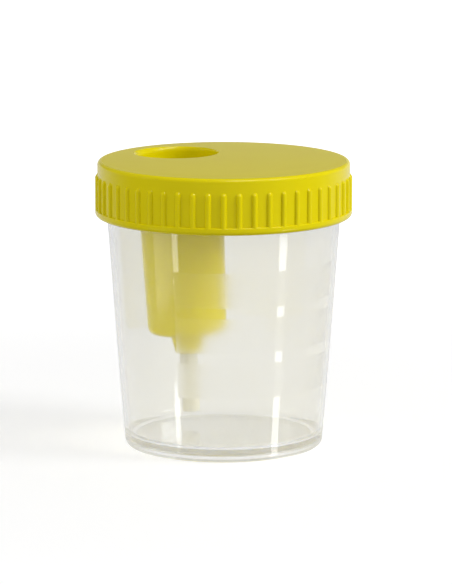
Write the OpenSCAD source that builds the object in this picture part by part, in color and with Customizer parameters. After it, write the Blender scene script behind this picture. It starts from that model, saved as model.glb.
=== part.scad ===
// Specimen container: a tapered cup and a screw lid with a tube well moulded into it.
// Lengths are millimetres. +Z is up and the origin is the centre of the foot on the table.
// The tube well stands off the cup's axis and leans, so its lower end is nearer the middle.

/* [Cup] */
// Height of the rim above the table
cup_h = 72.7; // [62:0.1:88]
// Outer radius that the tapered wall has at the table
foot_r = 25.55; // [21:0.05:30]
// Outer radius of the straight neck that carries the thread
neck_r = 30.2; // [28:0.05:37]
// Height of the straight neck
neck_h = 9.8; // [8:0.1:12]
// Thickness of the wall
cup_wall = 1.2; // [0.9:0.05:1.5]
// Thickness of the floor
floor_t = 1.3; // [1:0.1:2]
// Height of the hollow under the floor
foot_recess = 1.9; // [1:0.1:3]
// Width of the ring that the cup stands on
foot_ring_w = 2.8; // [2.2:0.1:4]
// Rounding of the foot's outer edge
foot_round = 1.6; // [0.4:0.1:2]
// Rounding between the wall and the floor, inside
floor_round = 2; // [1:0.1:4]

/* [Thread] */
// How far the cup's thread stands out of the neck
cup_thread_h = 0.5; // [0.4:0.05:0.9]
// How far the lid's thread stands into the skirt
lid_thread_h = 0.4; // [0.4:0.05:0.9]
// Radial gap between the two crests, which lets the lid lift off
thread_gap = 0.2; // [0.1:0.05:0.4]
// Rise of the thread in one turn
thread_pitch = 3.6; // [3:0.1:4]
// Length of the thread in turns
thread_turns = 1.2; // [0.8:0.1:1.3]

/* [Lid] */
// Height of the lid
lid_h = 14.6; // [13:0.1:17]
// Thickness of the top plate
plate_t = 1.5; // [1.2:0.1:2.5]
// Thickness of the skirt at the flutes
skirt_wall = 1.1; // [0.8:0.05:1.4]
// Rounding of the edge of the top plate
plate_round = 1; // [0.6:0.1:2]
// Rounding of the lower edge of the skirt, outside
low_round = 1.1; // [0.4:0.1:1.2]
// Height of the plain band under the ribs
low_band_h = 2; // [1.5:0.1:3]
// Height of the plain band above the ribs
high_band_h = 3.6; // [2.5:0.1:4.5]
// Gap between the cup's rim and the underside of the plate
rim_gap = 0.1; // [0.05:0.05:0.3]

/* [Grip ribs] */
// Number of ribs around the skirt
rib_count = 52; // [36:1:60]
// Width of one rib
rib_w = 1.56; // [1:0.02:2]
// How far a rib stands out of the flutes
rib_h = 0.6; // [0.5:0.05:0.9]

/* [Seal ring] */
// Depth of the ring that plugs the neck
seal_h = 2.6; // [1.5:0.1:4]
// Thickness of the ring
seal_wall = 0.9; // [0.7:0.05:1.2]
// Radial gap between the ring and the neck
seal_gap = 0.15; // [0.05:0.05:0.3]

/* [Tube well] */
// Direction of the well from the cup's axis, in degrees from +X
well_turn = 135; // [90:1:180]
// Lean of the well, in degrees
well_tilt = 2.8; // [0:0.1:4]
// Inner radius at the mouth, where a vacuum tube goes in
well_mouth_r = 10.4; // [9.6:0.05:12.5]
// Inner radius at the floor
well_floor_r = 9.3; // [8.5:0.05:9.5]
// Depth from the mouth to the floor
well_depth = 46; // [38:0.5:56]
// Thickness of the well's wall and floor
well_wall = 1.1; // [1:0.05:1.3]
// Rounding of the well's lower edge
well_round = 1.7; // [1:0.1:2.5]
// Rounding of the mouth
mouth_round = 2; // [1.5:0.1:2.6]
// Least gap between the well and the inside of the cup
well_gap = 0.75; // [0.3:0.05:1]

/* [Nozzle and aspiration tube] */
// Length of the nozzle under the well
nozzle_len = 5.4; // [4:0.1:7]
// Outer radius of the nozzle where it leaves the well
nozzle_root_r = 4.6; // [4:0.1:5.5]
// Outer radius of the nozzle at its end
nozzle_end_r = 3.5; // [3.3:0.05:3.9]
// Outer radius of the aspiration tube
straw_r = 2.35; // [2:0.05:2.6]
// Wall of the aspiration tube
straw_wall = 0.6; // [0.4:0.05:0.8]
// Length of the tube that is pressed into the nozzle
straw_grip = 5; // [4:0.1:6]
// Gap between the aspiration tube and the floor of the cup
straw_floor_gap = 3; // [1.5:0.1:8]

/* [Needle] */
// Outer radius of the needle
needle_r = 0.45; // [0.4:0.01:0.6]
// Radius of the needle's bore
needle_bore_r = 0.25; // [0.2:0.01:0.3]
// Height of the needle above the floor of the well
needle_h = 17; // [14:0.5:20]
// Length of the needle below the floor of the well
needle_tail = 1.8; // [1.6:0.1:1.9]
// Angle between the needle's ground tip and its axis, in degrees
needle_grind = 18; // [15:1:30]
// Outer radius of the boss that holds the needle
boss_r = 2.3; // [2:0.05:2.6]
// Height of the boss
boss_h = 2.4; // [2:0.1:3]

/* [Rubber sleeve] */
// Outer radius of the sleeve
sleeve_r = 1.75; // [1.6:0.05:2]
// Inner radius of the sleeve around the needle
sleeve_bore_r = 0.75; // [0.7:0.05:0.9]
// Thickness of the sleeve's closed tip
sleeve_tip = 2; // [1.5:0.1:3]
// Outer radius of the collar at the sleeve's foot
collar_r = 2.9; // [2.7:0.05:3.2]
// Height of the collar
collar_h = 3.4; // [3:0.1:4]

/* [Hidden] */

CUP_COLOUR = [0.93, 0.93, 0.90, 0.45];
LID_COLOUR = [0.85, 0.80, 0.10];
STEEL_COLOUR = [0.75, 0.76, 0.78];
RUBBER_COLOUR = [0.86, 0.83, 0.74];
STRAW_COLOUR = [0.96, 0.95, 0.90, 0.5];

ROUND_STEPS = 6;
FINE_FN = 96;
TUBE_FN = 48;
NEEDLE_FN = 32;
RIB_FN = 24;
// How far solids that join run into each other, and how far a cutter runs past what it cuts
MESH_OVERLAP = 0.3;
CUT_MARGIN = 1;

// Cup
floor_z = foot_recess + floor_t;
neck_z = cup_h - neck_h;
taper = (neck_r - foot_r) / neck_z;
neck_in_r = neck_r - cup_wall;
rim_round = cup_wall / 3;
recess_round = 0.6;

// Lid
under_plate = cup_h + rim_gap;
lid_top = under_plate + plate_t;
lid_low = lid_top - lid_h;
skirt_in_r = neck_r + cup_thread_h + thread_gap + lid_thread_h;
flute_r = skirt_in_r + skirt_wall;
band_r = flute_r + rib_h;
lead_in = 0.5;
least_land = 0.1;
band_round = min(low_round, skirt_wall + rib_h - lead_in - least_land);
rib_slope = 1.2;

// Thread
thread_root_w = 2;
thread_crest_w = 0.9;
thread_step = 7.5;
thread_fade = 30;
thread_end_share = 0.05;
cup_thread_z = lid_low + 4.6;
lid_thread_drop = thread_pitch / 2;

// Tube well, measured along its own axis from the mouth down
well_round_step = 0.7;
well_mouth_out_r = well_mouth_r + well_wall;
well_floor_out_r = well_floor_r + well_wall;
well_base = well_depth + well_wall;
nozzle_end = well_base + nozzle_len;
straw_top = nozzle_end - straw_grip;
well_low_z = lid_top - well_base * cos(well_tilt);
well_shift = well_base * sin(well_tilt);

// The well stands as far out as the neck lets its mouth and the wall lets its lower end
mouth_limit = neck_in_r - well_gap - well_mouth_out_r;
low_limit = wall_r(well_low_z) - cup_wall - well_gap - well_floor_out_r;
low_offset = well_shift * -cos(well_turn)
    + sqrt(pow(low_limit, 2) - pow(well_shift * sin(well_turn), 2));
well_offset = min(mouth_limit, low_offset);
straw_end = (lid_top - floor_z - straw_floor_gap) / cos(well_tilt);

// Rubber sleeve
sleeve_lift = 0.05;
sleeve_round = 1;
collar_edge = 0.4;
needle_room = 0.2;

// Points of an arc about [x, y], from angle a to angle b
function arc(x, y, r, a, b) = [
    for (i = [0 : ROUND_STEPS])
        let (t = a + (b - a) * i / ROUND_STEPS) [x + r * cos(t), y + r * sin(t)]
];

// Outer radius of the cup's wall at a height
function wall_r(z) = foot_r + taper * min(z, neck_z);

// A thread's ridge between two radii, with both ends faded into the wall
module thread_ridge(root_r, crest_r) {
    steps = round(thread_turns * 360 / thread_step);
    points = [
        for (i = [0 : steps])
            let (
                a = i * thread_step,
                fade = min(1, a / thread_fade, (steps * thread_step - a) / thread_fade),
                crest = root_r + (crest_r - root_r) * max(fade, thread_end_share),
                z = a / 360 * thread_pitch,
                buried = root_r - sign(crest_r - root_r) * MESH_OVERLAP
            )
            for (p = [[buried, -thread_root_w / 2], [crest, -thread_crest_w / 2],
                      [crest, thread_crest_w / 2], [buried, thread_root_w / 2]])
                [p[0] * cos(a), p[0] * sin(a), z + p[1]]
    ];
    last = steps * 4;
    flip = crest_r > root_r;
    faces = concat(
        [[0, 1, 2, 3], [last + 3, last + 2, last + 1, last]],
        [
            for (i = [0 : steps - 1], j = [0 : 3], half = [0, 1])
                let (
                    p = i * 4 + j,
                    q = i * 4 + (j + 1) % 4
                )
                half == 0 ? [p, p + 4, q + 4] : [p, q + 4, q]
        ]
    );
    polyhedron(points, flip ? [for (f = faces) [for (k = [len(f) - 1 : -1 : 0]) f[k]]] : faces);
}

module cup_outside() {
    rotate_extrude($fn = FINE_FN)
        polygon(concat(
            [[0, 0]],
            arc(foot_r - foot_round, foot_round, foot_round, -90, 0),
            [[neck_r, neck_z]],
            arc(neck_r - rim_round, cup_h - rim_round, rim_round, 0, 90),
            [[0, cup_h]]
        ));
}

module cup_inside() {
    floor_r = wall_r(floor_z + floor_round) - cup_wall;
    rotate_extrude($fn = FINE_FN)
        polygon(concat(
            [[0, floor_z]],
            arc(floor_r - floor_round, floor_z + floor_round, floor_round, -90, 0),
            [[neck_in_r, neck_z]],
            [[neck_in_r, cup_h - rim_round], [neck_in_r + rim_round, cup_h]],
            [[neck_in_r + rim_round, cup_h + CUT_MARGIN], [0, cup_h + CUT_MARGIN]]
        ));
}

module cup_recess() {
    recess_r = foot_r - foot_ring_w;
    rotate_extrude($fn = FINE_FN)
        polygon(concat(
            [[0, -CUT_MARGIN], [recess_r, -CUT_MARGIN]],
            arc(recess_r - recess_round, foot_recess - recess_round, recess_round, 0, 90),
            [[0, foot_recess]]
        ));
}

module cup() {
    color(CUP_COLOUR)
        difference() {
            union() {
                cup_outside();
                translate([0, 0, cup_thread_z])
                    thread_ridge(neck_r, neck_r + cup_thread_h);
            }
            cup_inside();
            cup_recess();
        }
}

module lid_shell() {
    rotate_extrude($fn = FINE_FN)
        polygon(concat(
            [[skirt_in_r + lead_in, lid_low]],
            arc(band_r - band_round, lid_low + band_round, band_round, -90, 0),
            arc(band_r - rib_h / 2, lid_low + low_band_h - rib_h / 2, rib_h / 2, 0, 90),
            [[flute_r, lid_low + low_band_h]],
            arc(flute_r - plate_round, lid_top - plate_round, plate_round, 0, 90),
            [[0, lid_top], [0, under_plate], [skirt_in_r, under_plate]],
            [[skirt_in_r, lid_low + lead_in]]
        ));
}

// The space that the ribs fill, with a slope where they run out under the high band
module rib_zone() {
    top = lid_top - high_band_h;
    rotate_extrude($fn = FINE_FN)
        polygon([
            [flute_r - MESH_OVERLAP, lid_low + low_band_h - MESH_OVERLAP],
            [band_r, lid_low + low_band_h - MESH_OVERLAP],
            [band_r, top - rib_slope],
            [band_r - rib_h / 4, top - rib_slope / 2],
            [flute_r, top],
            [flute_r - MESH_OVERLAP, top]
        ]);
}

module grip_ribs() {
    intersection() {
        rib_zone();
        for (i = [0 : rib_count - 1])
            rotate([0, 0, i * 360 / rib_count])
                translate([band_r - rib_w / 2, 0, lid_low])
                    cylinder(r = rib_w / 2, h = lid_h - plate_round, $fn = RIB_FN);
    }
}

module seal_ring() {
    out_r = neck_in_r - seal_gap;
    rotate_extrude($fn = FINE_FN)
        polygon([
            [out_r - seal_wall, under_plate + MESH_OVERLAP],
            [out_r - seal_wall, under_plate - seal_h],
            [out_r - seal_wall / 2, under_plate - seal_h],
            [out_r, under_plate - seal_h + seal_wall / 2],
            [out_r, under_plate + MESH_OVERLAP]
        ]);
}

// Places its children in the well's frame: origin at the mouth, +Z out along the well
module in_well() {
    rotate([0, 0, well_turn])
        translate([well_offset, 0, lid_top])
            rotate([0, 0, -well_turn])
                rotate([0, -well_tilt, 0])
                    children();
}

module well_outside() {
    rotate_extrude($fn = FINE_FN)
        polygon(concat(
            [[0, -plate_t / 2], [well_mouth_out_r, -plate_t / 2]],
            arc(well_floor_out_r - well_round, -well_base + well_round, well_round, 0, -90),
            [[nozzle_root_r, -well_base]],
            arc(nozzle_end_r - lead_in, -nozzle_end + lead_in, lead_in, 0, -90),
            [[0, -nozzle_end]]
        ));
}

// The mouth's rounding is struck about the leaning axis, so it is fullest on the outer side
module well_inside() {
    lip_r = well_mouth_r + mouth_round;
    lip_z = lip_r * tan(well_tilt) - mouth_round;
    inner_round = well_round - well_round_step;
    rotate_extrude($fn = FINE_FN)
        polygon(concat(
            [[0, 2 * plate_t], [lip_r, 2 * plate_t]],
            arc(lip_r, lip_z, mouth_round, 90, 180),
            arc(well_floor_r - inner_round, -well_depth + inner_round, inner_round, 0, -90),
            [[boss_r, -well_depth], [boss_r, -well_depth + boss_h], [0, -well_depth + boss_h]]
        ));
}

module nozzle_bores() {
    translate([0, 0, -nozzle_end - CUT_MARGIN])
        cylinder(r = straw_r, h = straw_grip + CUT_MARGIN, $fn = FINE_FN);
    translate([0, 0, -nozzle_end])
        cylinder(r = needle_r, h = nozzle_len + well_wall + boss_h + CUT_MARGIN, $fn = NEEDLE_FN);
}

module screw_lid() {
    color(LID_COLOUR)
        difference() {
            union() {
                lid_shell();
                grip_ribs();
                seal_ring();
                in_well() well_outside();
                translate([0, 0, cup_thread_z - lid_thread_drop])
                    thread_ridge(skirt_in_r, skirt_in_r - lid_thread_h);
            }
            in_well() well_inside();
            in_well() nozzle_bores();
        }
}

module needle() {
    length = needle_h + needle_tail;
    block = 4 * needle_r;
    color(STEEL_COLOUR)
        in_well()
            translate([0, 0, -well_depth - needle_tail])
                difference() {
                    cylinder(r = needle_r, h = length, $fn = NEEDLE_FN);
                    translate([0, 0, -CUT_MARGIN])
                        cylinder(r = needle_bore_r, h = length + 2 * CUT_MARGIN, $fn = NEEDLE_FN);
                    translate([needle_r, 0, length])
                        rotate([0, -needle_grind, 0])
                            translate([0, -block / 2, -length / 2])
                                cube([block, block, length]);
                }
}

module rubber_sleeve() {
    length = needle_h + sleeve_tip;
    color(RUBBER_COLOUR)
        in_well()
            translate([0, 0, -well_depth])
                rotate_extrude($fn = TUBE_FN)
                    polygon(concat(
                        [[boss_r, sleeve_lift], [collar_r, sleeve_lift]],
                        [[collar_r, collar_h - collar_edge], [collar_r - collar_edge, collar_h]],
                        [[sleeve_r, collar_h + 2 * collar_edge]],
                        arc(sleeve_r - sleeve_round, length - sleeve_round, sleeve_round, 0, 90),
                        [[0, length], [0, needle_h + 2 * needle_room]],
                        [[sleeve_bore_r, needle_h + needle_room]],
                        [[sleeve_bore_r, boss_h + collar_edge], [boss_r, boss_h]]
                    ));
}

module aspiration_tube() {
    length = straw_end - straw_top;
    color(STRAW_COLOUR)
        in_well()
            translate([0, 0, -straw_end])
                difference() {
                    cylinder(r = straw_r, h = length, $fn = TUBE_FN);
                    translate([0, 0, -CUT_MARGIN])
                        cylinder(r = straw_r - straw_wall, h = length + 2 * CUT_MARGIN, $fn = TUBE_FN);
                }
}

cup();
screw_lid();
needle();
rubber_sleeve();
aspiration_tube();
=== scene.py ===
"""Looks of the specimen container: a translucent cup and a yellow screw lid with a tube well in it.

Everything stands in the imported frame: +Z up, origin at the centre of the foot, +Y away from the
viewer. Sizes are written in millimetres and become metres where a mesh is made.
"""

import logging
import math
from collections.abc import Callable
from dataclasses import dataclass, replace
from enum import Enum

import bmesh
import bpy
from mathutils import Matrix, Vector

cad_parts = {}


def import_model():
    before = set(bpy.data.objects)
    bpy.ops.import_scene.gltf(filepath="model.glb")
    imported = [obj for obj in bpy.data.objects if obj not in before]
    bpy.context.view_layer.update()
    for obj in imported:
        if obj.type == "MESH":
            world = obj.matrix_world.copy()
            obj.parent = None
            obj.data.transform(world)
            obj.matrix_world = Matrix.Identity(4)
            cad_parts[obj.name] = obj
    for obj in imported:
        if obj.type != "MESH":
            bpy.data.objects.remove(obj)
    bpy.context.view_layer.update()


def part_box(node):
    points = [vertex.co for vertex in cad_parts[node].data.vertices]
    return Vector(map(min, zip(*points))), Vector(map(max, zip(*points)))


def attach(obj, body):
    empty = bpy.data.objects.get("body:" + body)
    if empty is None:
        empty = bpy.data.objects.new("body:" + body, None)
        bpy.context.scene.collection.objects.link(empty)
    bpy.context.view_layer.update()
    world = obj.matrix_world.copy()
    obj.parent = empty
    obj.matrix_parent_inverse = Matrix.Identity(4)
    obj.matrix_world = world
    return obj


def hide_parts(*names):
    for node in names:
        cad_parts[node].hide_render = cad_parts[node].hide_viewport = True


MM = 0.001
MERGE_DISTANCE = 1e-6
SAME_HEIGHT = 0.01  # Heights in millimetres that differ by less count as the same.
FACES_UP = 0.9  # Least Z of the normal of a face that points up.
LIES_LEVEL = 0.999  # Least Z of the normal of a face that lies level, or nearly so.
FLAT_FACE_WEIGHT = 60
LOG = logging.getLogger("specimen_container")

Point = tuple[float, float]
Colour = tuple[float, float, float, float]


class Cut(Enum):
    """How one solid changes another."""

    ADD = "UNION"
    REMOVE = "DIFFERENCE"


class Body(Enum):
    """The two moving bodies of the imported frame."""

    CONTAINER = "container"
    LID = "lid"


# ---------------------------------------------------------------------------------------------
# Modelling bench
# ---------------------------------------------------------------------------------------------


def arc(x: float, z: float, radius: float, start: float, end: float, steps: int = 8) -> list[Point]:
    """Gives the points of an arc in an outline.

    Args:
        x: Radius at which the arc's centre lies.
        z: Height of the arc's centre.
        radius: Radius of the arc.
        start: First angle in degrees, from the outward direction towards +Z.
        end: Last angle in degrees.
        steps: Number of chords.

    Returns:
        The arc's points, first to last.
    """
    angles = [math.radians(start + (end - start) * i / steps) for i in range(steps + 1)]
    return [(x + radius * math.cos(a), z + radius * math.sin(a)) for a in angles]


def select_only(obj: bpy.types.Object) -> None:
    """Makes one object the only selected one, and the active one.

    Args:
        obj: The object to select.
    """
    bpy.ops.object.select_all(action="DESELECT")
    obj.select_set(True)
    bpy.context.view_layer.objects.active = obj


def draw_outline(name: str, outline: list[Point]) -> bpy.types.Object:
    """Draws an outline in the XZ plane and leaves its object in edit mode.

    Args:
        name: Name of the new object.
        outline: Radius and height of each point, in millimetres.

    Returns:
        An object with one chain of edges.
    """
    bpy.ops.object.select_all(action="DESELECT")
    bpy.ops.mesh.primitive_plane_add(size=MM)
    obj = bpy.context.object
    obj.name = obj.data.name = name
    bpy.ops.object.mode_set(mode="EDIT")
    bpy.ops.mesh.select_mode(type="VERT")
    bpy.ops.mesh.merge(type="CENTER")
    x, z = outline[0]
    bpy.ops.transform.translate(value=(x * MM, 0, z * MM))
    for next_x, next_z in outline[1:]:
        step = ((next_x - x) * MM, 0, (next_z - z) * MM)
        bpy.ops.mesh.extrude_vertices_move(TRANSFORM_OT_translate={"value": step})
        x, z = next_x, next_z
    return obj


def close_mesh() -> None:
    """Merges doubled points and turns all faces outwards, in edit mode, and leaves it."""
    bpy.ops.mesh.select_all(action="SELECT")
    bpy.ops.mesh.remove_doubles(threshold=MERGE_DISTANCE)
    bpy.ops.mesh.normals_make_consistent(inside=False)
    bpy.ops.object.mode_set(mode="OBJECT")


def lathe(name: str, outline: list[Point], segments: int) -> bpy.types.Object:
    """Spins an outline once about +Z.

    Args:
        name: Name of the new object.
        outline: Radius and height of each point, in millimetres. It starts and ends on the axis,
            or its last point is its first.
        segments: Number of faces around.

    Returns:
        A closed solid.
    """
    obj = draw_outline(name, outline)
    bpy.ops.mesh.select_all(action="SELECT")
    bpy.ops.mesh.spin(steps=segments, angle=math.tau, center=(0, 0, 0), axis=(0, 0, 1))
    close_mesh()
    return obj


def select_faces(obj: bpy.types.Object, test: Callable[[Vector, Vector], bool]) -> int:
    """Selects the faces that pass a test, in edit mode.

    Args:
        obj: The object in edit mode.
        test: Is given a face's centre in millimetres and its normal.

    Returns:
        How many faces were selected.
    """
    bpy.ops.mesh.select_mode(type="FACE")
    bpy.ops.mesh.select_all(action="DESELECT")
    mesh = bmesh.from_edit_mesh(obj.data)
    chosen = [f for f in mesh.faces if test(f.calc_center_median() / MM, f.normal)]
    for face in chosen:
        face.select_set(True)
    bmesh.update_edit_mesh(obj.data)
    return len(chosen)


def combine(body: bpy.types.Object, tool: bpy.types.Object, how: Cut) -> None:
    """Adds a solid to another, or takes it away, and removes the tool's object.

    Args:
        body: The solid that stays.
        tool: The solid that is used up.
        how: Whether it is added or removed.
    """
    select_only(body)
    modifier = body.modifiers.new(how.name.lower(), "BOOLEAN")
    modifier.operation = how.value
    modifier.solver = "MANIFOLD"
    modifier.object = tool
    bpy.ops.object.modifier_apply(modifier=modifier.name)
    bpy.data.objects.remove(tool)


def place(obj: bpy.types.Object, frame: Matrix) -> bpy.types.Object:
    """Moves a mesh to its place and leaves its object at the origin.

    Args:
        obj: The object to place.
        frame: Where its own origin and axes go.

    Returns:
        The same object.
    """
    obj.matrix_world = frame
    select_only(obj)
    bpy.ops.object.transform_apply(location=True, rotation=True, scale=True)
    return obj


def smooth(obj: bpy.types.Object, sharp_angle: float = 32) -> None:
    """Shades a mesh smooth, with flat faces kept flat.

    Args:
        obj: The piece.
        sharp_angle: Edges that turn by more than this many degrees stay sharp.
    """
    select_only(obj)
    bpy.ops.object.shade_smooth_by_angle(angle=math.radians(sharp_angle))
    modifier = obj.modifiers.new("flat_faces_first", "WEIGHTED_NORMAL")
    modifier.keep_sharp = True
    modifier.weight = FLAT_FACE_WEIGHT
    bpy.ops.object.modifier_apply(modifier=modifier.name)


def hand_over(obj: bpy.types.Object, body: Body, node: str) -> None:
    """Puts a finished piece into the frame in place of its CAD node.

    Args:
        obj: The finished piece.
        body: The body that it rides on.
        node: The CAD node that it stands for.
    """
    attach(obj, body.value)
    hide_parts(node)
    LOG.info("%s: %d faces, rides on %s", obj.name, len(obj.data.polygons), body.value)


# ---------------------------------------------------------------------------------------------
# Finishes
# ---------------------------------------------------------------------------------------------


def srgb(code: str) -> Colour:
    """Turns an sRGB hex colour into linear values.

    Args:
        code: Six hex digits.

    Returns:
        Linear red, green and blue, and an alpha of one.
    """
    shares = [int(code[i : i + 2], 16) / 255 for i in (0, 2, 4)]
    linear = [s / 12.92 if s <= 0.04045 else ((s + 0.055) / 1.055) ** 2.4 for s in shares]
    return (linear[0], linear[1], linear[2], 1.0)


def add_node(tree: bpy.types.NodeTree, kind: str, settings: dict, links: dict) -> bpy.types.Node:
    """Adds one node with its settings and links.

    Args:
        tree: The node tree.
        kind: The node's type.
        settings: Values of its properties or unlinked sockets, by name or identifier.
        links: Output sockets that feed its inputs, by name or identifier.

    Returns:
        The new node.
    """
    node = tree.nodes.new(kind)
    for name, value in settings.items():
        if hasattr(node, name):
            setattr(node, name, value)
    sockets = {s.name: s for s in reversed(node.inputs)} | {s.identifier: s for s in node.inputs}
    for name, value in settings.items():
        if name in sockets and not hasattr(node, name):
            sockets[name].default_value = value
    for name, source in links.items():
        tree.links.new(source, sockets[name])
    return node


def smooth_step(
    tree: bpy.types.NodeTree,
    value: bpy.types.NodeSocket,
    start: float,
    end: float,
    low: float = 0.0,
    high: float = 1.0,
) -> bpy.types.NodeSocket:
    """Makes a level that changes softly between two values of something.

    Args:
        tree: The node tree.
        value: What the level follows.
        start: Where the change starts.
        end: Where it ends.
        low: The level up to the start.
        high: The level from the end on.

    Returns:
        The level.
    """
    span = {"From Min": start, "From Max": end, "To Min": low, "To Max": high}
    settings = {"interpolation_type": "SMOOTHSTEP"} | span
    return add_node(tree, "ShaderNodeMapRange", settings, {"Value": value}).outputs["Result"]


def blank_material(name: str) -> bpy.types.Material:
    """Makes a material with an empty node tree.

    Args:
        name: Name of the material.

    Returns:
        The new material.
    """
    material = bpy.data.materials.new(name)
    material.use_nodes = True
    material.node_tree.nodes.clear()
    return material


@dataclass(frozen=True)
class Finish:
    """A moulded, drawn or dipped surface: colour that drifts a little, sheen and a fine relief.

    Lengths are in millimetres. Relief is the height of the grain, and stretch makes the grain
    longer along the piece's Z. Shadow is the tint that a lamp's light takes at each surface of a
    clear piece. Haze is the share of light that a millimetre of the piece scatters, in the haze
    colour. Eroded names the mesh attribute that is 1 where the surface has the matt grain of a
    spark-eroded tool.
    """

    name: str
    colour: str
    drift_colour: str
    drift_size: float
    roughness: float
    grain_size: float
    relief: float
    ior: float = 1.5
    metallic: float = 0.0
    transmission: float = 0.0
    specular: float = 0.5
    subsurface: float = 0.0
    subsurface_reach: float = 1.0
    subsurface_tint: tuple[float, float, float] = (1.0, 0.8, 0.3)
    stretch: float = 1.0
    shadow: str | None = None
    haze: float = 0.0
    haze_colour: str = "FFFFFF"
    haze_forward: float = 0.4
    eroded: str | None = None
    eroded_roughness: float = 0.3
    eroded_grain_size: float = 0.25
    eroded_relief: float = 0.004

    def material(self) -> bpy.types.Material:
        """Makes the node material for this finish.

        Returns:
            The material.
        """
        material = blank_material(self.name)
        tree = material.node_tree
        place_on_piece = add_node(tree, "ShaderNodeTexCoord", {}, {}).outputs["Object"]
        stretch = {"Scale": (1.0, 1.0, 1 / self.stretch)}
        stretched = add_node(tree, "ShaderNodeMapping", stretch, {"Vector": place_on_piece})
        along = stretched.outputs["Vector"]
        links = {"Base Color": self._drifting_colour(tree, place_on_piece)}
        relief = self._grain(tree, along, self.grain_size, self.relief)
        if self.eroded:
            marked = add_node(tree, "ShaderNodeAttribute", {"attribute_name": self.eroded}, {})
            mask = marked.outputs["Fac"]
            sheen = {"A_Float": self.roughness, "B_Float": self.eroded_roughness}
            rough = add_node(tree, "ShaderNodeMix", sheen, {"Factor_Float": mask})
            links["Roughness"] = rough.outputs["Result"]
            coarse = self._grain(tree, along, self.eroded_grain_size, self.eroded_relief)
            both = {"Factor_Float": mask, "A_Float": relief, "B_Float": coarse}
            relief = add_node(tree, "ShaderNodeMix", {}, both).outputs["Result"]
        bump = add_node(tree, "ShaderNodeBump", {"Strength": 1.0, "Distance": MM}, {"Height": relief})
        links["Normal"] = bump.outputs["Normal"]
        shader = add_node(
            tree,
            "ShaderNodeBsdfPrincipled",
            {
                "Roughness": self.roughness,
                "IOR": self.ior,
                "Metallic": self.metallic,
                "Transmission Weight": self.transmission,
                "Specular IOR Level": self.specular,
                "Subsurface Weight": self.subsurface,
                "Subsurface Radius": self.subsurface_tint,
                "Subsurface Scale": self.subsurface_reach * MM,
            },
            links,
        )
        ends = {"Surface": shader.outputs["BSDF"]}
        if self.shadow:
            ends["Surface"] = self._let_lamps_through(tree, ends["Surface"])
        if self.haze:
            ends["Volume"] = self._cloud(tree)
        add_node(tree, "ShaderNodeOutputMaterial", {}, ends)
        return material

    def _drifting_colour(
        self, tree: bpy.types.NodeTree, place: bpy.types.NodeSocket
    ) -> bpy.types.NodeSocket:
        """Makes the colour, which drifts softly over the piece.

        Args:
            tree: The material's nodes.
            place: The coordinates that the drift follows.

        Returns:
            The colour.
        """
        drift = add_node(
            tree,
            "ShaderNodeTexNoise",
            {"Scale": 1 / (self.drift_size * MM), "Detail": 2.0, "Roughness": 0.5},
            {"Vector": place},
        )
        colour = add_node(
            tree,
            "ShaderNodeMix",
            {"data_type": "RGBA", "A_Color": srgb(self.colour), "B_Color": srgb(self.drift_colour)},
            {"Factor_Float": drift.outputs["Fac"]},
        )
        return colour.outputs["Result"]

    def _cloud(self, tree: bpy.types.NodeTree) -> bpy.types.NodeSocket:
        """Makes the milky cloud inside the piece.

        Args:
            tree: The material's nodes.

        Returns:
            The volume.
        """
        cloud = add_node(
            tree,
            "ShaderNodeVolumeScatter",
            {
                "Color": srgb(self.haze_colour),
                "Density": self.haze / MM,
                "Anisotropy": self.haze_forward,
            },
            {},
        )
        return cloud.outputs["Volume"]

    @staticmethod
    def _grain(
        tree: bpy.types.NodeTree, place: bpy.types.NodeSocket, size: float, relief: float
    ) -> bpy.types.NodeSocket:
        """Makes a relief of soft grain.

        Args:
            tree: The material's nodes.
            place: The coordinates that the grain follows.
            size: Width of the grain in millimetres.
            relief: Height of the grain in millimetres.

        Returns:
            The relief's height in millimetres.
        """
        grain = add_node(
            tree,
            "ShaderNodeTexNoise",
            {"Scale": 1 / (size * MM), "Detail": 3.0, "Roughness": 0.6},
            {"Vector": place},
        )
        height = add_node(
            tree,
            "ShaderNodeMath",
            {"operation": "MULTIPLY", "Value_001": relief},
            {"Value": grain.outputs["Fac"]},
        )
        return height.outputs["Value"]

    def _let_lamps_through(
        self, tree: bpy.types.NodeTree, surface: bpy.types.NodeSocket
    ) -> bpy.types.NodeSocket:
        """Lets a lamp's light pass straight through clear plastic, with the plastic's own tint.

        Args:
            tree: The material's nodes.
            surface: The plastic's shader.

        Returns:
            The shader that lamps pass.
        """
        path = add_node(tree, "ShaderNodeLightPath", {}, {})
        clear = add_node(tree, "ShaderNodeBsdfTransparent", {"Color": srgb(self.shadow)}, {})
        mix = add_node(tree, "ShaderNodeMixShader", {}, {"Fac": path.outputs["Is Shadow Ray"]})
        tree.links.new(surface, mix.inputs[1])
        tree.links.new(clear.outputs["BSDF"], mix.inputs[2])
        return mix.outputs["Shader"]


def dress(obj: bpy.types.Object, *finishes: Finish) -> None:
    """Gives a piece its finishes, with the first of them all over it.

    Args:
        obj: The piece.
        finishes: One finish for each material slot.
    """
    obj.data.materials.clear()
    for finish in finishes:
        obj.data.materials.append(finish.material())


# Polypropylene random copolymer, injection moulded in a polished tool: clear with a faint milky
# cloud inside, which turns to cream where much of it is in line. The tool is spark eroded in the
# writing panels: a fine matt grain that takes a pen and blurs what is behind it. Real grain is
# about 0.03 mm, drawn coarser so that it shows.
CLOUDY_POLYPROPYLENE = Finish(
    name="cloudy_polypropylene_moulded",
    colour="FCFBF6",
    drift_colour="FBFAF2",
    drift_size=14.0,
    roughness=0.06,
    grain_size=8.0,
    relief=0.001,
    ior=1.49,
    transmission=1.0,
    shadow="E6E4DC",
    haze=0.12,
    haze_colour="FFF2C0",
    eroded="eroded",
    eroded_roughness=0.27,
)
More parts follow.
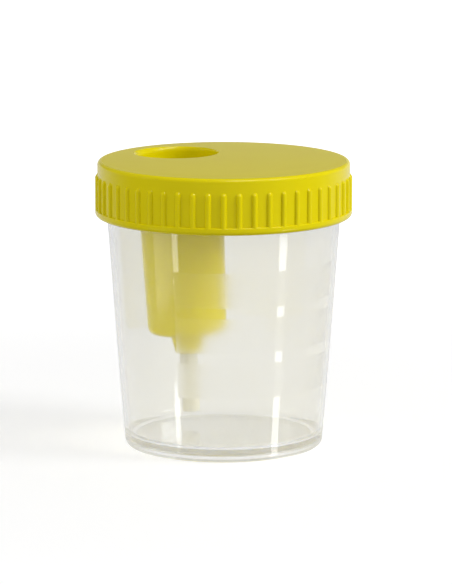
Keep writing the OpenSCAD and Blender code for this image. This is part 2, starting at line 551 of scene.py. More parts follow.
# High density polyethylene with yellow pigment, moulded: waxy, semi-gloss, light goes in a little.
YELLOW_POLYETHYLENE = Finish(
    name="yellow_polyethylene_moulded",
    colour="E1D300",
    drift_colour="DDCD00",
    drift_size=9.0,
    roughness=0.22,
    grain_size=0.5,
    relief=0.003,
    ior=1.53,
    specular=0.4,
    subsurface=0.15,
    subsurface_reach=0.8,
    subsurface_tint=(1.0, 0.8, 0.05),
)
# The lid's top face comes from a matt area of the tool, so its sheen is broad and soft. Its yellow is
# also painted a little darker than the skirt's, as painted shade, so that the top, which is lit from
# above, does not read too bright.
SATIN_SHADED_POLYETHYLENE = replace(
    YELLOW_POLYETHYLENE,
    name="yellow_polyethylene_satin_painted_shade_top",
    # Painted shade: a darker copy of the skirt's yellow, used on the top face only.
    colour="DCCE00",
    drift_colour="D8C800",
    roughness=0.3,
    grain_size=0.3,
    relief=0.004,
    specular=0.35,
)
# Natural polypropylene, extruded: milky, with faint draw lines along the tube.
NATURAL_POLYPROPYLENE = Finish(
    name="natural_polypropylene_extruded",
    colour="FFFEF6",
    drift_colour="FCFAF0",
    drift_size=5.0,
    roughness=0.3,
    grain_size=0.4,
    relief=0.01,
    ior=1.49,
    transmission=0.6,
    stretch=12.0,
    shadow="FCFAF4",
)
# Stainless steel 304, drawn and electropolished: bright, with fine draw lines.
STAINLESS_STEEL = Finish(
    name="stainless_steel_drawn",
    colour="C9C7C3",
    drift_colour="BDBBB8",
    drift_size=2.0,
    roughness=0.22,
    grain_size=0.08,
    relief=0.002,
    metallic=1.0,
    stretch=20.0,
)
# Natural latex rubber, dipped: matt cream skin with soft unevenness.
LATEX_RUBBER = Finish(
    name="latex_rubber_dipped",
    colour="DDD3B4",
    drift_colour="D2C6A2",
    drift_size=3.0,
    roughness=0.55,
    grain_size=0.35,
    relief=0.012,
    ior=1.52,
    subsurface=0.3,
    subsurface_reach=0.6,
    subsurface_tint=(1.0, 0.7, 0.4),
)


# ---------------------------------------------------------------------------------------------
# Thread
# ---------------------------------------------------------------------------------------------


@dataclass
class Thread:
    """One start of a moulded thread, which fades into its wall at both ends.

    Bury is how deep the ridge's root lies in the wall. Step is how far the helix turns between
    two sections, and fade how far it turns while the ridge rises, both in degrees.
    """

    wall_r: float
    crest_r: float
    start_z: float
    bury: float
    pitch: float = 3.6
    turns: float = 1.2
    root_width: float = 2.0
    crest_width: float = 0.9
    step: float = 6.0
    fade: float = 30.0
    least_share: float = 0.04

    def build(self, name: str) -> bpy.types.Object:
        """Drags the ridge's section along its helix, step by step.

        Args:
            name: Name of the new object.

        Returns:
            A closed ridge whose root lies inside the wall.
        """
        outwards = 1 if self.crest_r > self.wall_r else -1
        buried_r = self.wall_r - outwards * self.bury
        section = [
            (buried_r, self.start_z - self.root_width / 2),
            (self.crest_r, self.start_z - self.crest_width / 2),
            (self.crest_r, self.start_z + self.crest_width / 2),
            (buried_r, self.start_z + self.root_width / 2),
        ]
        ridge = draw_outline(name, section)
        bpy.ops.mesh.select_all(action="SELECT")
        bpy.ops.mesh.edge_face_add()
        steps = round(self.turns * 360 / self.step)
        self._shrink(self._height(0, steps), 1.0)
        for i in range(steps):
            rise = (0, 0, self.pitch * self.step / 360 * MM)
            bpy.ops.mesh.extrude_region_move(TRANSFORM_OT_translate={"value": rise})
            turn_selected(self.step)
            self._shrink(self._height(i + 1, steps), self._height(i, steps))
        close_mesh()
        return ridge

    def _height(self, index: int, steps: int) -> float:
        """Share of the ridge's full height at a step, counted from the nearer end."""
        return max(self.least_share, min(1.0, min(index, steps - index) * self.step / self.fade))

    def _shrink(self, share: float, last_share: float) -> None:
        """Moves the selected section in or out so that its crest has a share of its height.

        Args:
            share: The share of the full height that the crest gets.
            last_share: The share that it has.
        """
        height = self.crest_r - self.wall_r
        factor = (self.wall_r + height * share) / (self.wall_r + height * last_share)
        bpy.ops.transform.resize(value=(factor, factor, 1), center_override=(0, 0, 0))


def turn_selected(degrees: float) -> None:
    """Turns what is selected about +Z. With no window the operator turns the other way."""
    bpy.ops.transform.rotate(value=-math.radians(degrees), orient_axis="Z", center_override=(0, 0, 0))


# ---------------------------------------------------------------------------------------------
# Pieces
# ---------------------------------------------------------------------------------------------


@dataclass
class WritingPanels:
    """Three matt panels on the cup's wall, with glossy bands between them.

    The angles are seen from above, from the viewer's side towards +X.
    """

    first_z: float = 16.9
    height: float = 9.1
    pitch: float = 11.8
    count: int = 3
    left_angle: float = -25.5
    right_angle: float = 70.5
    relief: float = 0.015

    def heights(self) -> list[float]:
        """Gives the heights of the panels' lower and upper edges, lowest first."""
        return [self.first_z + i * self.pitch + h for i in range(self.count) for h in (0, self.height)]

    def holds(self, centre: Vector) -> bool:
        """Tells whether a point of the wall lies in a panel.

        Args:
            centre: The point, in millimetres.

        Returns:
            Whether a panel covers it.
        """
        angle = math.degrees(math.atan2(centre.x, -centre.y))
        along = (centre.z - self.first_z) % self.pitch
        row = (centre.z - self.first_z) // self.pitch
        in_row = 0 <= row < self.count and along < self.height
        return in_row and self.left_angle < angle < self.right_angle


@dataclass
class Cup:
    """The cup: one moulding with a tapered wall, a threaded neck and a hollow foot."""

    height: float
    foot_r: float = 25.55
    neck_r: float = 30.2
    neck_h: float = 9.8
    wall: float = 1.2
    floor: float = 1.3
    recess: float = 1.9
    ring_width: float = 2.8
    ring_bevel: float = 0.15
    foot_round: float = 1.6
    floor_round: float = 2.0
    recess_round: float = 0.6
    rim_round: float = 0.4
    thread_crest_r: float = 30.7
    thread_z: float = 64.3
    thread_bury: float = 0.3
    gate_r: float = 0.9
    gate_tip_r: float = 0.63
    gate_h: float = 0.45
    segments: int = 480

    def wall_r(self, z: float) -> float:
        """Outer radius of the wall at a height."""
        neck_z = self.height - self.neck_h
        return self.foot_r + (self.neck_r - self.foot_r) * min(z, neck_z) / neck_z

    def outline(self, panels: WritingPanels) -> list[Point]:
        """Gives the cup's section, from the axis under the floor to the axis above it.

        Args:
            panels: The writing panels, whose edges need rings of their own.

        Returns:
            Radius and height of each point.
        """
        floor_z = self.recess + self.floor
        neck_z = self.height - self.neck_h
        inner_r = self.neck_r - self.wall
        recess_r = self.foot_r - self.ring_width
        vault = self.recess_round
        rim = self.rim_round
        low_r = self.wall_r(floor_z + self.floor_round) - self.wall
        return [
            (0, self.recess - self.gate_h),
            (self.gate_tip_r, self.recess - self.gate_h),
            (self.gate_r, self.recess),
            *arc(recess_r - vault, self.recess - vault, vault, 90, 0),
            (recess_r, self.ring_bevel),
            (recess_r + self.ring_bevel, 0),
            *arc(self.foot_r - self.foot_round, self.foot_round, self.foot_round, -90, 0),
            *((self.wall_r(z), z) for z in panels.heights()),
            (self.neck_r, neck_z),
            *arc(self.neck_r - rim, self.height - rim, rim, 0, 90),
            *arc(inner_r + rim, self.height - rim, rim, 90, 180),
            (inner_r, neck_z),
            *arc(low_r - self.floor_round, floor_z + self.floor_round, self.floor_round, 0, -90),
            (0, floor_z),
        ]

    def build(self) -> bpy.types.Object:
        """Models and dresses the cup.

        Returns:
            The finished cup.
        """
        panels = WritingPanels()
        cup = lathe("cup_body", self.outline(panels), self.segments)
        thread = Thread(self.neck_r, self.thread_crest_r, self.thread_z, self.thread_bury)
        combine(cup, thread.build("cup_thread"), Cut.ADD)
        dress(cup, CLOUDY_POLYPROPYLENE)
        self._frost(cup, panels)
        smooth(cup)
        return cup

    def _frost(self, cup: bpy.types.Object, panels: WritingPanels) -> None:
        """Raises the writing panels a little and marks them and the underside as eroded.

        Args:
            cup: The dressed cup.
            panels: The writing panels.
        """
        select_only(cup)
        bpy.ops.object.mode_set(mode="EDIT")
        half_wall = self.wall / 2
        select_faces(
            cup,
            lambda centre, normal: panels.holds(centre)
            and Vector((centre.x, centre.y)).length > self.wall_r(centre.z) - half_wall,
        )
        bpy.ops.mesh.extrude_region_shrink_fatten(
            TRANSFORM_OT_shrink_fatten={"value": panels.relief * MM}
        )
        bpy.ops.object.mode_set(mode="OBJECT")
        marked = cup.data.attributes.new(CLOUDY_POLYPROPYLENE.eroded, "FLOAT", "FACE")
        ring_r = (self.foot_r - self.foot_round) * MM
        under_floor = (self.recess + SAME_HEIGHT) * MM
        for face in cup.data.polygons:
            underside = face.center.xy.length < ring_r and face.center.z < under_floor
            marked.data[face.index].value = float(face.select or underside)


@dataclass
class TubeWell:
    """The leaning well that a vacuum tube is pushed into, and the nozzle under it.

    Heights are measured along the well's own axis, from the mouth down.
    """

    lid_top: float
    direction: float = 135.0
    offset: float = 16.75
    lean: float = 2.8
    mouth_r: float = 10.4
    floor_r: float = 9.3
    depth: float = 46.0
    wall: float = 1.1
    start: float = 0.75
    corner: float = 1.7
    floor_round: float = 1.0
    mouth_round: float = 2.0
    boss_r: float = 2.3
    boss_h: float = 2.4
    boss_round: float = 0.25
    nozzle_len: float = 5.4
    nozzle_root_r: float = 4.6
    nozzle_flare: float = 0.4
    nozzle_flare_h: float = 0.3
    nozzle_end_r: float = 3.5
    nozzle_lead: float = 0.5
    socket_r: float = 2.35
    socket_depth: float = 5.0
    needle_r: float = 0.45
    top_margin: float = 3.0
    cut_margin: float = 1.0
    segments: int = 144
    bore_segments: int = 64

    def frame(self) -> Matrix:
        """Gives the well's frame: origin at the mouth, +Z out along the well.

        Returns:
            The frame, in metres.
        """
        out = math.radians(self.direction)
        mouth = Vector((self.offset * math.cos(out), self.offset * math.sin(out), self.lid_top))
        return Matrix.Translation(mouth * MM) @ Matrix.Rotation(math.radians(-self.lean), 4, "Y")

    @property
    def base(self) -> float:
        """Distance from the mouth to the underside of the well's floor."""
        return self.depth + self.wall

    @property
    def nozzle_end(self) -> float:
        """Distance from the mouth to the nozzle's end."""
        return self.base + self.nozzle_len

    def outside(self) -> bpy.types.Object:
        """Makes the solid of the well and nozzle without their hollows.

        Returns:
            The solid, which starts inside the lid's plate.
        """
        low_r = self.floor_r + self.wall
        lead = self.nozzle_lead
        outline = [
            (0, -self.start),
            (self.mouth_r + self.wall, -self.start),
            *arc(low_r - self.corner, -self.base + self.corner, self.corner, 0, -90),
            (self.nozzle_root_r + self.nozzle_flare, -self.base),
            (self.nozzle_root_r, -self.base - self.nozzle_flare_h),
            *arc(self.nozzle_end_r - lead, -self.nozzle_end + lead, lead, 0, -90),
            (0, -self.nozzle_end),
        ]
        return place(lathe("well_outside", outline, self.segments), self.frame())

    def inside(self) -> bpy.types.Object:
        """Makes the hollow of the well, with its rounded mouth and the boss left standing.

        Returns:
            The solid to cut away.
        """
        lip_r = self.mouth_r + self.mouth_round
        lip_z = lip_r * math.tan(math.radians(self.lean)) - self.mouth_round
        inner = self.floor_round
        boss = self.boss_round
        outline = [
            (0, self.top_margin),
            (lip_r, self.top_margin),
            *arc(lip_r, lip_z, self.mouth_round, 90, 180, steps=14),
            *arc(self.floor_r - inner, -self.depth + inner, inner, 0, -90),
            (self.boss_r, -self.depth),
            *arc(self.boss_r - boss, -self.depth + self.boss_h - boss, boss, 0, 90, steps=4),
            (0, -self.depth + self.boss_h),
        ]
        return place(lathe("well_inside", outline, self.segments), self.frame())

    def bores(self) -> bpy.types.Object:
        """Makes the nozzle's socket and the needle's hole as one cutter.

        Returns:
            The solid to cut away.
        """
        low = -self.nozzle_end - self.cut_margin
        socket_top = -self.nozzle_end + self.socket_depth
        high = -self.depth + self.boss_h + self.cut_margin
        outline = [
            (0, low),
            (self.socket_r, low),
            (self.socket_r, socket_top),
            (self.needle_r, socket_top),
            (self.needle_r, high),
            (0, high),
        ]
        return place(lathe("well_bores", outline, self.bore_segments), self.frame())


@dataclass
class ScrewLid:
    """The lid: one moulding of plate, ribbed skirt, thread, seal ring and tube well.

    Rib steps are how far the rib's sloping top goes in at each of its even rises.
    """

    top: float
    skirt_r: float
    well: TubeWell
    height: float = 14.6
    plate: float = 1.5
    skirt_in_r: float = 31.3
    skirt_wall: float = 1.1
    plate_round: float = 1.0
    plate_round_start: float = 89.0
    crown: float = 0.25
    crown_rings: int = 10
    band_round: float = 1.1
    low_band: float = 2.0
    high_band: float = 3.6
    lead_in: float = 0.5
    rib_count: int = 52
    rib_width: float = 1.56
    rib_slope: float = 1.2
    rib_steps: tuple[float, ...] = (0.06, 0.16, 0.3, 0.5)
    rib_bury: float = 0.5
    rib_segments: int = 28
    seal_r: float = 28.85
    seal_wall: float = 0.9
    seal_depth: float = 2.6
    seal_bevel: float = 0.15
    seal_bury: float = 0.3
    thread_crest_r: float = 30.9
    thread_z: float = 62.5
    thread_bury: float = 0.2
    segments: int = 208

    @property
    def low(self) -> float:
        """Height of the skirt's lower edge."""
        return self.top - self.height

    @property
    def flute_r(self) -> float:
        """Outer radius of the skirt between its ribs."""
        return self.skirt_in_r + self.skirt_wall

    def shell(self) -> bpy.types.Object:
        """Makes the plate and skirt.

        Returns:
            The lid without its ribs, seal, thread and well.
        """
        under = self.top - self.plate
        rib_h = self.skirt_r - self.flute_r
        band_top = self.low + self.low_band
        edge_r = self.flute_r - self.plate_round
        plate_edge = self.top - self.crown - self.plate_round
        rings = self.crown_rings
        outline = [
            *((edge_r * i / rings, self.top - self.crown * (i / rings) ** 2) for i in range(rings)),
            *arc(edge_r, plate_edge, self.plate_round, self.plate_round_start, 0, steps=10),
            (self.flute_r, band_top),
            *arc(self.skirt_r - rib_h / 2, band_top - rib_h / 2, rib_h / 2, 90, 0),
            *arc(self.skirt_r - self.band_round, self.low + self.band_round, self.band_round, 0, -90),
            (self.skirt_in_r + self.lead_in, self.low),
            (self.skirt_in_r, self.low + self.lead_in),
            (self.skirt_in_r, under),
            (0, under),
        ]
        return lathe("screw_lid_body", outline, self.segments)

    def ribs(self) -> bpy.types.Object:
        """Models one grip rib, with a top that slopes into the skirt, and copies it round.

        Returns:
            All ribs as one object.
        """
        radius = self.rib_width / 2
        bottom = self.low + self.low_band - self.rib_bury
        straight = self.top - self.high_band - self.rib_slope
        bpy.ops.object.select_all(action="DESELECT")
        bpy.ops.mesh.primitive_cylinder_add(
            vertices=self.rib_segments,
            radius=radius * MM,
            depth=(straight - bottom) * MM,
            location=((self.skirt_r - radius) * MM, 0, (straight + bottom) / 2 * MM),
        )
        rib = bpy.context.object
        rib.name = rib.data.name = "grip_ribs"
        bpy.ops.object.transform_apply(location=True, rotation=False, scale=False)
        bpy.ops.object.mode_set(mode="EDIT")
        select_faces(rib, lambda centre, normal: normal.z > FACES_UP)
        rise = self.rib_slope / len(self.rib_steps)
        for inwards in self.rib_steps:
            step = (-inwards * MM, 0, rise * MM)
            bpy.ops.mesh.extrude_region_move(TRANSFORM_OT_translate={"value": step})
        bpy.ops.mesh.select_all(action="SELECT")
        bpy.ops.mesh.spin(
            steps=self.rib_count - 1,
            angle=math.tau * (self.rib_count - 1) / self.rib_count,
            center=(0, 0, 0),
            axis=(0, 0, 1),
            dupli=True,
        )
        close_mesh()
        return rib

    def seal(self) -> bpy.types.Object:
        """Makes the ring that plugs the cup's neck.

        Returns:
            The ring, whose top lies inside the plate.
        """
        top = self.top - self.plate + self.seal_bury
        tip = self.top - self.plate - self.seal_depth
        inner_r = self.seal_r - self.seal_wall
        outline = [
            (inner_r, top),
            (inner_r, tip + self.seal_bevel),
            (inner_r + self.seal_bevel, tip),
            (self.seal_r - self.seal_wall / 2, tip),
            (self.seal_r, tip + self.seal_wall / 2),
            (self.seal_r, top),
            (inner_r, top),
        ]
        return lathe("seal_ring", outline, self.segments)

    def build(self) -> bpy.types.Object:
        """Models and dresses the lid.

        Returns:
            The finished lid.
        """
        lid = self.shell()
        thread = Thread(self.skirt_in_r, self.thread_crest_r, self.thread_z, self.thread_bury)
        for solid in (self.ribs(), self.seal(), thread.build("lid_thread"), self.well.outside()):
            combine(lid, solid, Cut.ADD)
        for hollow in (self.well.inside(), self.well.bores()):
            combine(lid, hollow, Cut.REMOVE)
        dress(lid, YELLOW_POLYETHYLENE, SATIN_SHADED_POLYETHYLENE)
        self._satin_shaded_top(lid)
        smooth(lid)
        return lid

    def _satin_shaded_top(self, lid: bpy.types.Object) -> None:
        """Gives the top face its matt surface, and its painted shade: a slightly darker copy of the
        yellow.

        Args:
            lid: The dressed lid.
        """
        select_only(lid)
        bpy.ops.object.mode_set(mode="EDIT")
        lowest = self.top - self.crown - SAME_HEIGHT
        select_faces(lid, lambda centre, normal: centre.z > lowest and normal.z > LIES_LEVEL)
        lid.active_material_index = 1
        bpy.ops.object.material_slot_assign()
        bpy.ops.object.mode_set(mode="OBJECT")


@dataclass
class AspirationTube:
    """The tube that hangs from the nozzle and draws the sample up.

    End is the distance from the well's mouth to the tube's low end, along the well.
    """

    well: TubeWell
    end: float = 68.18
    wall: float = 0.6
    edge: float = 0.12
    segments: int = 72

    def build(self) -> bpy.types.Object:
        """Models and dresses the tube, with broken edges at both cut ends.

        Returns:
            The finished tube.
        """
        outer = self.well.socket_r
        inner = outer - self.wall
        top = -self.well.nozzle_end + self.well.socket_depth
        low = -self.end
        outline = [
            (inner, top - self.edge),
            (inner, low + self.edge),
            (inner + self.edge, low),
            (outer - self.edge, low),
            (outer, low + self.edge),
            (outer, top - self.edge),
            (outer - self.edge, top),
            (inner + self.edge, top),
            (inner, top - self.edge),
        ]
        tube = place(lathe("aspiration_tube_extrusion", outline, self.segments), self.well.frame())
        dress(tube, NATURAL_POLYPROPYLENE)
        smooth(tube, sharp_angle=50)
        return tube


@dataclass
class Needle:
    """The steel needle in the well's boss, open at both ends, with a ground tip.

    Its height is measured up from the well's floor and its tail down from it. The lancet faces
    are two more grinds, turned round the needle to both sides and raised a little.
    """

    well: TubeWell
    bore_r: float = 0.25
    height: float = 17.0
    tail: float = 1.8
    grind: float = 18.0
    lancet_turn: float = 35.0
    lancet_rise: float = 0.35
    block_size: float = 4.0
    segments: int = 40

    def _grind(self, top: float, turn: float) -> bpy.types.Object:
        """Makes the cutter for one ground face of the tip.

        Args:
            top: Height at which the face leaves the needle's high side.
            turn: How far the face is turned round the needle, in degrees.

        Returns:
            A block with one face where the steel is ground away.
        """
        bpy.ops.object.select_all(action="DESELECT")
        bpy.ops.mesh.primitive_cube_add(size=self.block_size * MM)
        block = bpy.context.object
        lean = Matrix.Rotation(math.radians(90 - self.grind), 4, "Y")
        round_axis = Matrix.Rotation(math.radians(turn), 4, "Z")
        high_side = Matrix.Translation(Vector((-self.well.needle_r, 0, top)) * MM)
        out = Matrix.Translation(Vector((0, 0, self.block_size / 2)) * MM)
        return place(block, round_axis @ high_side @ lean @ out)

    def build(self) -> bpy.types.Object:
        """Models and dresses the needle.

        Returns:
            The finished needle.
        """
        outer = self.well.needle_r
        low = -self.well.depth - self.tail
        top = -self.well.depth + self.height
        bore = self.bore_r
        outline = [(bore, low), (outer, low), (outer, top), (bore, top), (bore, low)]
        needle = lathe("needle_cannula", outline, self.segments)
        combine(needle, self._grind(top, 0.0), Cut.REMOVE)
        for side in (-1, 1):
            combine(needle, self._grind(top + self.lancet_rise, side * self.lancet_turn), Cut.REMOVE)
        place(needle, self.well.frame())
        dress(needle, STAINLESS_STEEL)
        smooth(needle, sharp_angle=30)
        return needle


@dataclass
class RubberSleeve:
    """The closed rubber sleeve over the needle. Its heights start at the well's floor."""

    well: TubeWell
    needle_h: float = 17.0
    needle_room: float = 0.2
    radius: float = 1.75
    bore_r: float = 0.75
    bore_tip: float = 0.2
    bore_flare: float = 0.4
    tip: float = 2.0
    tip_round: float = 1.0
    collar_r: float = 2.9
    collar_h: float = 3.4
    shoulder_w: float = 0.3
    shoulder_low: float = 0.2
    shoulder_high: float = 0.8
    bead: float = 0.5
    bead_turn: float = 50.0
    clearance: float = 0.05
    segments: int = 64

    def build(self) -> bpy.types.Object:
        """Models and dresses the sleeve, with a beaded collar that grips the boss.

        Returns:
            The finished sleeve.
        """
        length = self.needle_h + self.tip
        bore_top = self.needle_h + self.needle_room
        boss_r = self.well.boss_r
        boss_h = self.well.boss_h
        bead = self.bead
        bead_r = self.collar_r - bead
        turn = self.bead_turn
        outline = [
            (0, bore_top + self.bore_tip),
            (self.bore_r, bore_top),
            (self.bore_r, boss_h + self.bore_flare),
            (boss_r, boss_h),
            (boss_r, self.clearance),
            *arc(bead_r, self.clearance + bead, bead, -90, turn, steps=6),
            *arc(bead_r, self.collar_h - bead, bead, -turn, 90, steps=6),
            (self.radius + self.shoulder_w, self.collar_h + self.shoulder_low),
            (self.radius, self.collar_h + self.shoulder_high),
            *arc(self.radius - self.tip_round, length - self.tip_round, self.tip_round, 0, 90),
            (0, length),
        ]
        outline = [(r, z - self.well.depth) for r, z in outline]
        sleeve = place(lathe("needle_sleeve", outline, self.segments), self.well.frame())
        dress(sleeve, LATEX_RUBBER)
        smooth(sleeve, sharp_angle=40)
        return sleeve


# ---------------------------------------------------------------------------------------------
# Studio
# ---------------------------------------------------------------------------------------------


@dataclass(frozen=True)
class Softbox:
    """A rectangular lamp that faces the object. Lengths are in metres, angles in degrees.

    Azimuth 0 is the viewer's side and 90 the viewer's right. A level of 1 is as bright as white
    paper in full light. The surfaces show its reflection only if it is reflected.
    """

    name: str
    azimuth: float
    elevation: float
    distance: float
    width: float
    height: float
    level: float
    reflected: bool = True
    lights_floor: bool = True
    aim_z: float = 0.04

    def matrix(self) -> Matrix:
        """Gives the place of the box, which looks at the middle of the object.

        Returns:
            The lamp's frame, whose +Z points away from the object.
        """
        a, e = math.radians(self.azimuth), math.radians(self.elevation)
        out = Vector((math.sin(a) * math.cos(e), -math.cos(a) * math.cos(e), math.sin(e)))
        turn = out.to_track_quat("Z", "Y").to_matrix().to_4x4()
        return Matrix.Translation(Vector((0, 0, self.aim_z)) + out * self.distance) @ turn

    def add(self) -> None:
        """Adds the box as an area lamp that the camera doesn't see.

        A lamp that skips the floor is linked to all but the floor.
        """
        data = bpy.data.lights.new(self.name, "AREA")
        data.shape = "RECTANGLE"
        data.size, data.size_y = self.width, self.height
        data.energy = self.level * math.pi * self.width * self.height
        lamp = bpy.data.objects.new(self.name, data)
        lamp.matrix_world = self.matrix()
        lamp.visible_camera = False
        lamp.visible_glossy = self.reflected
        bpy.context.scene.collection.objects.link(lamp)
        if not self.lights_floor:
            skipped = bpy.data.collections.new(f"{self.name}_skips")
            skipped.objects.link(bpy.data.objects["floor"])
            skipped.collection_objects[0].light_linking.link_state = "EXCLUDE"
            lamp.light_linking.receiver_collection = skipped


@dataclass(frozen=True)
class Card:
    """A bright upright card that only shows as a reflection.

    Lengths are in metres, angles in degrees, and low and high are the heights of its edges.
    """

    name: str
    azimuth: float
    distance: float
    width: float
    low: float
    high: float
    level: float

    def add(self) -> None:
        """Adds the card, upright and facing the object."""
        a = math.radians(self.azimuth)
        bpy.ops.object.select_all(action="DESELECT")
        bpy.ops.mesh.primitive_plane_add(size=1)
        card = bpy.context.object
        card.name = self.name
        out = Vector((math.sin(a), -math.cos(a), 0)) * self.distance
        middle = out + Vector((0, 0, (self.low + self.high) / 2))
        upright = Matrix.Rotation(a, 4, "Z") @ Matrix.Rotation(math.pi / 2, 4, "X")
        scale = Matrix.Diagonal((self.width, self.high - self.low, 1, 1))
        card.matrix_world = Matrix.Translation(middle) @ upright @ scale
        card.visible_camera = card.visible_diffuse = card.visible_shadow = False
        card.visible_transmission = card.visible_volume_scatter = False
        material = blank_material(self.name)
        tree = material.node_tree
        glow = add_node(tree, "ShaderNodeEmission", {"Strength": self.level}, {})
        add_node(tree, "ShaderNodeOutputMaterial", {}, {"Surface": glow.outputs["Emission"]})
        card.data.materials.append(material)


@dataclass
class Studio:
    """White sweep, soft lamps and the camera.

    Lengths are in metres, angles in degrees, and levels are linear, with 1 as white. The floor
    glows to the camera from floor_glow near the object to far_glow away from it. What shines sees
    a sweep that rises from black at dark_side to sweep_level at bright_side, by how far a
    direction points away from the viewer, and dims between the horizon and the ceiling.
    """

    camera_distance: float = 1.0504
    camera_height: float = 0.2337
    camera_pitch: float = 10.47
    lens: float = 255.5
    shift: float = 0.004
    floor_size: float = 6.0
    floor_colour: str = "F2F2F2"
    floor_glow: float = 0.48
    far_glow: float = 0.85
    glow_start: float = 0.1
    glow_end: float = 0.45
    sky_level: float = 0.44
    sweep_level: float = 0.8
    dark_side: float = -0.1
    bright_side: float = 1.0
    horizon: float = 0.04
    ceiling: float = 0.25
    ceiling_level: float = 0.2
    bounces: int = 32
    plastic_bounces: int = 24
    cloud_bounces: int = 16

    def lights(self) -> list[Softbox | Card]:
        """Lists the lamps, and the cards whose reflections the polished wall shows."""
        hidden = {"reflected": False}
        off_floor = {"lights_floor": False}
        return [
            Softbox("key_softbox", 24, 54, 1.2, 0.5, 0.5, level=4.2, **off_floor),
            Softbox("right_softbox", 72, 20, 1.0, 0.4, 0.2, level=14.5, **hidden, **off_floor),
            Softbox("high_softbox", 74, 42, 1.0, 0.3, 0.3, level=8.0, **hidden),
            Softbox("left_softbox", -78, 16, 1.0, 0.5, 0.5, level=3.4, **hidden, **off_floor),
            Card("right_window", 61, 0.6, 0.09, low=-0.4, high=-0.105, level=7.0),
            Card("left_window_high", -49, 0.6, 0.065, low=-0.145, high=-0.1, level=6.0),
            Card("high_window", 58, 0.6, 0.16, low=0.5, high=0.85, level=8.0),
            Card("left_blind", -63, 0.6, 0.21, low=-0.145, high=-0.1, level=1.5),
            Card("left_window_low", -52.5, 0.6, 0.065, low=-0.215, high=-0.185, level=8.0),
        ]

    def build(self) -> None:
        """Sets up the whole studio."""
        scene = bpy.context.scene
        scene.view_settings.view_transform = "Standard"
        scene.cycles.max_bounces = self.bounces
        scene.cycles.glossy_bounces = self.plastic_bounces
        scene.cycles.transmission_bounces = self.plastic_bounces
        scene.cycles.volume_bounces = self.cloud_bounces
        self._camera(scene)
        self._world(scene)
        self._floor()
        for light in self.lights():
            light.add()

    def _camera(self, scene: bpy.types.Scene) -> None:
        """Adds the camera.

        Args:
            scene: The scene that it looks at.
        """
        data = bpy.data.cameras.new("camera")
        data.lens = self.lens
        data.shift_x = self.shift
        camera = bpy.data.objects.new("camera", data)
        camera.location = (0, -self.camera_distance, self.camera_height)
        camera.rotation_euler = (math.radians(90 - self.camera_pitch), 0, 0)
        scene.collection.objects.link(camera)
        scene.camera = camera

    def _world(self, scene: bpy.types.Scene) -> None:
        """Makes a sky that is white to the eye and through plastic, and soft as a lamp.

        What shines shows a sweep that is white behind the object and dark behind the viewer.

        Args:
            scene: The scene that gets the sky.
        """
        world = bpy.data.worlds.new("white_sweep")
        scene.world = world
        world.use_nodes = True
        world.cycles.sampling_method = "NONE"
        tree = world.node_tree
        tree.nodes.clear()
        path = add_node(tree, "ShaderNodeLightPath", {}, {})
        direction = add_node(tree, "ShaderNodeTexCoord", {}, {})
        parts = add_node(tree, "ShaderNodeSeparateXYZ", {}, {"Vector": direction.outputs["Generated"]})
        sweep = smooth_step(
            tree, parts.outputs["Y"], self.dark_side, self.bright_side, high=self.sweep_level
        )
        fall = smooth_step(
            tree, parts.outputs["Z"], self.horizon, self.ceiling, low=1.0, high=self.ceiling_level
        )
        shine = add_node(
            tree, "ShaderNodeMath", {"operation": "MULTIPLY"}, {"Value": sweep, "Value_001": fall}
        )
        reflected = add_node(
            tree,
            "ShaderNodeMix",
            {"A_Float": self.sky_level},
            {"Factor_Float": path.outputs["Is Glossy Ray"], "B_Float": shine.outputs["Value"]},
        )
        seen = add_node(
            tree,
            "ShaderNodeMath",
            {"operation": "MAXIMUM"},
            {"Value": path.outputs["Is Camera Ray"], "Value_001": path.outputs["Is Transmission Ray"]},
        )
        level = add_node(
            tree,
            "ShaderNodeMix",
            {"B_Float": 1.0},
            {"Factor_Float": seen.outputs["Value"], "A_Float": reflected.outputs["Result"]},
        )
        white = {"Color": srgb("FFFFFF")}
        glow = add_node(tree, "ShaderNodeBackground", white, {"Strength": level.outputs["Result"]})
        add_node(tree, "ShaderNodeOutputWorld", {}, {"Surface": glow.outputs["Background"]})

    def _floor(self) -> None:
        """Adds a plain white floor that keeps the object's shadow and is white through plastic."""
        bpy.ops.object.select_all(action="DESELECT")
        bpy.ops.mesh.primitive_plane_add(size=self.floor_size)
        floor = bpy.context.object
        floor.name = "floor"
        floor.visible_glossy = False
        material = blank_material("white_paper_sweep")
        tree = material.node_tree
        path = add_node(tree, "ShaderNodeLightPath", {}, {})
        spot = add_node(tree, "ShaderNodeTexCoord", {}, {})
        away = add_node(
            tree, "ShaderNodeVectorMath", {"operation": "LENGTH"}, {"Vector": spot.outputs["Object"]}
        )
        sweep = smooth_step(
            tree,
            away.outputs["Value"],
            self.glow_start,
            self.glow_end,
            low=self.floor_glow,
            high=self.far_glow,
        )
        lift = add_node(
            tree,
            "ShaderNodeMath",
            {"operation": "MULTIPLY"},
            {"Value": path.outputs["Is Camera Ray"], "Value_001": sweep},
        )
        paper = add_node(tree, "ShaderNodeBsdfDiffuse", {"Color": srgb(self.floor_colour)}, {})
        glow = add_node(tree, "ShaderNodeEmission", {}, {"Strength": lift.outputs["Value"]})
        both = add_node(tree, "ShaderNodeAddShader", {}, {})
        tree.links.new(paper.outputs["BSDF"], both.inputs[0])
        tree.links.new(glow.outputs["Emission"], both.inputs[1])
        through = add_node(tree, "ShaderNodeEmission", {"Strength": 1.0}, {})
        mix = add_node(tree, "ShaderNodeMixShader", {}, {"Fac": path.outputs["Is Transmission Ray"]})
        tree.links.new(both.outputs["Shader"], mix.inputs[1])
        tree.links.new(through.outputs["Emission"], mix.inputs[2])
        add_node(tree, "ShaderNodeOutputMaterial", {}, {"Surface": mix.outputs["Shader"]})
        floor.data.materials.append(material)


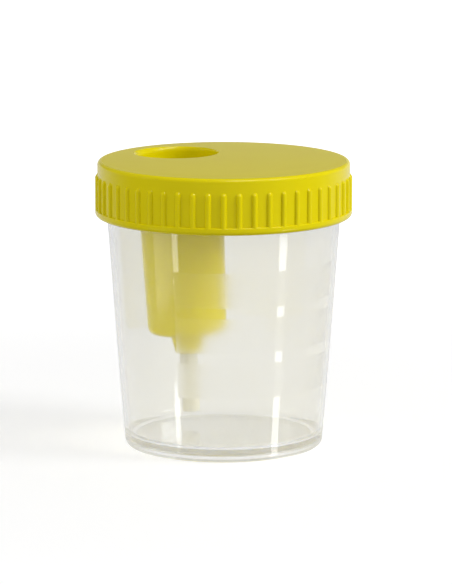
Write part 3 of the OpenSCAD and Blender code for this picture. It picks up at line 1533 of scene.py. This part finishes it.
def main() -> None:
    """Builds the container piece by piece and lights it."""
    logging.basicConfig(level=logging.INFO, format="%(name)s: %(message)s")
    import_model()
    cup_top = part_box("cup")[1].z / MM
    lid_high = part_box("screw_lid")[1]
    Studio().build()
    well = TubeWell(lid_top=lid_high.z / MM)
    hand_over(Cup(height=cup_top).build(), Body.CONTAINER, "cup")
    lid = ScrewLid(top=lid_high.z / MM, skirt_r=lid_high.x / MM, well=well)
    hand_over(lid.build(), Body.LID, "screw_lid")
    hand_over(AspirationTube(well).build(), Body.LID, "aspiration_tube")
    hand_over(Needle(well).build(), Body.LID, "needle")
    hand_over(RubberSleeve(well).build(), Body.LID, "rubber_sleeve")


if __name__ == "__main__":
    main()
